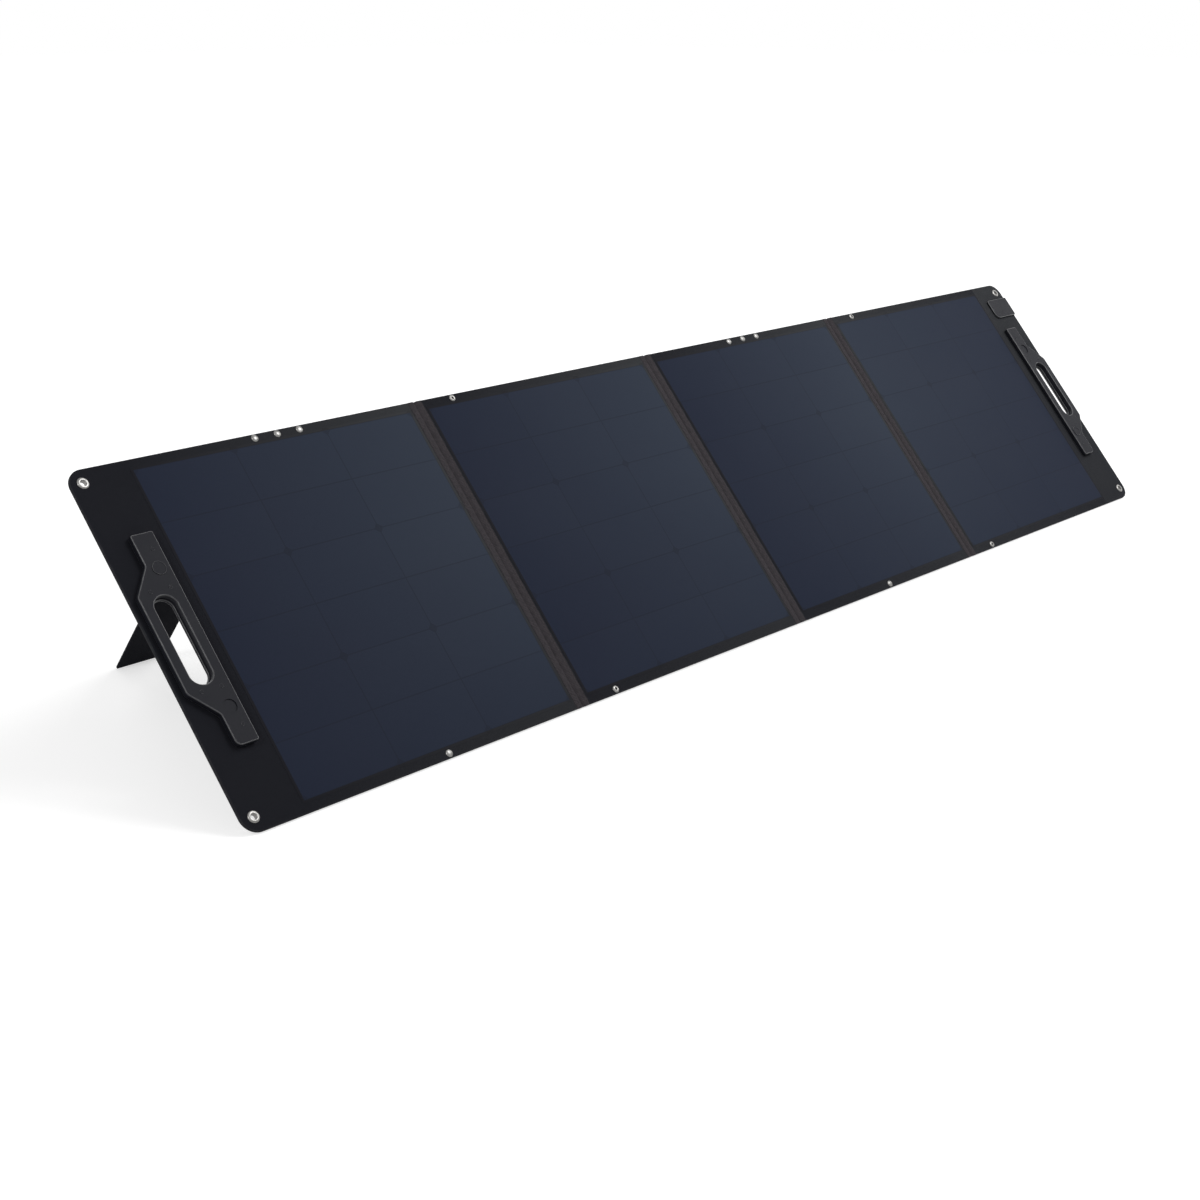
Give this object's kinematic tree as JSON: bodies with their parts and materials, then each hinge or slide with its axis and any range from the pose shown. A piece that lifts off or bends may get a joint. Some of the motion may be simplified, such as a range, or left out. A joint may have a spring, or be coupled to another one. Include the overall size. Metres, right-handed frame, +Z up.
{
  "type": "folding solar panel",
  "caption": "Folding fabric-backed solar panel standing open on two hinged prop legs, with a slotted carry handle on each end flap and metal eyelets along its borders.",
  "frame": {"origin": "middle of the footprint of the panel standing open, on the floor", "axes": "+X along the length towards the end with the junction box, +Y back towards the prop legs' soles, +Z up; the front faces -Y and up"},
  "size_m": [2.299, 0.6598, 0.4108],
  "materials": {
    "film": "satin textured front film, dark navy",
    "cells": "near-black silicon cells in their laminate",
    "board": "glass-fibre board",
    "fabric": "matte black coated fabric",
    "webbing": "brown-black woven hinge tape",
    "plastic": "dark grey moulded plastic, fine grain",
    "leg_plastic": "black fabric-covered plastic board",
    "eyelet_metal": "nickel-plated",
    "magnet": "plated magnet",
    "circuit": "green circuit board"
  },
  "bodies": {
    "panel_2": {"front_film_2": "film", "cell_layer_2": "cells", "core_board_2": "board", "front_cover_2": "fabric", "back_cover_2": "fabric", "eyelet_top_2": "eyelet_metal", "eyelet_bottom_2": "eyelet_metal", "seam_tape_a_right": "webbing", "seam_tape_b_left": "webbing"},
    "panel_1": {"front_film_1": "film", "cell_layer_1": "cells", "core_board_1": "board", "front_cover_1": "fabric", "back_cover_1": "fabric", "flap_board_left": "board", "handle_front_left": "plastic", "handle_back_left": "plastic", "magnet_left_upper": "magnet", "magnet_left_lower": "magnet", "grommet_left_upper": "eyelet_metal", "grommet_left_lower": "eyelet_metal", "leg_rivet_1_1": "eyelet_metal", "leg_rivet_1_2": "eyelet_metal", "leg_rivet_1_3": "eyelet_metal", "eyelet_bottom_1": "eyelet_metal", "leg_strip_1": "leg_plastic", "seam_tape_a_left": "webbing"},
    "panel_3": {"front_film_3": "film", "cell_layer_3": "cells", "core_board_3": "board", "front_cover_3": "fabric", "back_cover_3": "fabric", "leg_rivet_3_1": "eyelet_metal", "leg_rivet_3_2": "eyelet_metal", "leg_rivet_3_3": "eyelet_metal", "eyelet_bottom_3": "eyelet_metal", "leg_strip_3": "leg_plastic", "seam_tape_b_right": "webbing", "seam_tape_c_left": "webbing"},
    "panel_4": {"front_film_4": "film", "cell_layer_4": "cells", "core_board_4": "board", "front_cover_4": "fabric", "back_cover_4": "fabric", "flap_board_right": "board", "handle_front_right": "plastic", "handle_back_right": "plastic", "magnet_right_upper": "magnet", "magnet_right_lower": "magnet", "grommet_right_upper": "eyelet_metal", "grommet_right_lower": "eyelet_metal", "eyelet_top_4": "eyelet_metal", "eyelet_bottom_4": "eyelet_metal", "seam_tape_c_right": "webbing", "junction_cover": "plastic", "junction_box": "plastic", "terminal_board": "circuit", "cable_gland": "plastic"},
    "leg_1": {"leg_board_1": "leg_plastic"},
    "leg_3": {"leg_board_3": "leg_plastic"}
  },
  "joints": [
    {"name": "fold_middle", "type": "hinge", "parent": "panel_2", "child": "panel_3", "pos_m": [0, -0.32421, -0.00164], "axis": [0, 0.6561, 0.7547], "range_deg": [0, 180]},
    {"name": "fold_left", "type": "hinge", "parent": "panel_2", "child": "panel_1", "pos_m": [-0.535, -0.33085, 0.00413], "axis": [0, 0.6561, 0.7547], "range_deg": [0, 180]},
    {"name": "fold_right", "type": "hinge", "parent": "panel_3", "child": "panel_4", "pos_m": [0.535, -0.33085, 0.00413], "axis": [0, -0.6561, -0.7547], "range_deg": [0, 180]},
    {"name": "leg_left", "type": "hinge", "parent": "panel_1", "child": "leg_1", "pos_m": [-0.8625, 0.01589, 0.39066], "axis": [-1, 0, 0], "range_deg": [0, 79.6]},
    {"name": "leg_right", "type": "hinge", "parent": "panel_3", "child": "leg_3", "pos_m": [0.3275, 0.01589, 0.39066], "axis": [-1, 0, 0], "range_deg": [0, 79.6]}
  ],
  "couplings": [
    {"joint": "fold_left", "follows": "fold_middle", "ratio": 1},
    {"joint": "fold_right", "follows": "fold_middle", "ratio": 1},
    {"joint": "leg_right", "follows": "fold_middle", "ratio": 0.4422}
  ]
}
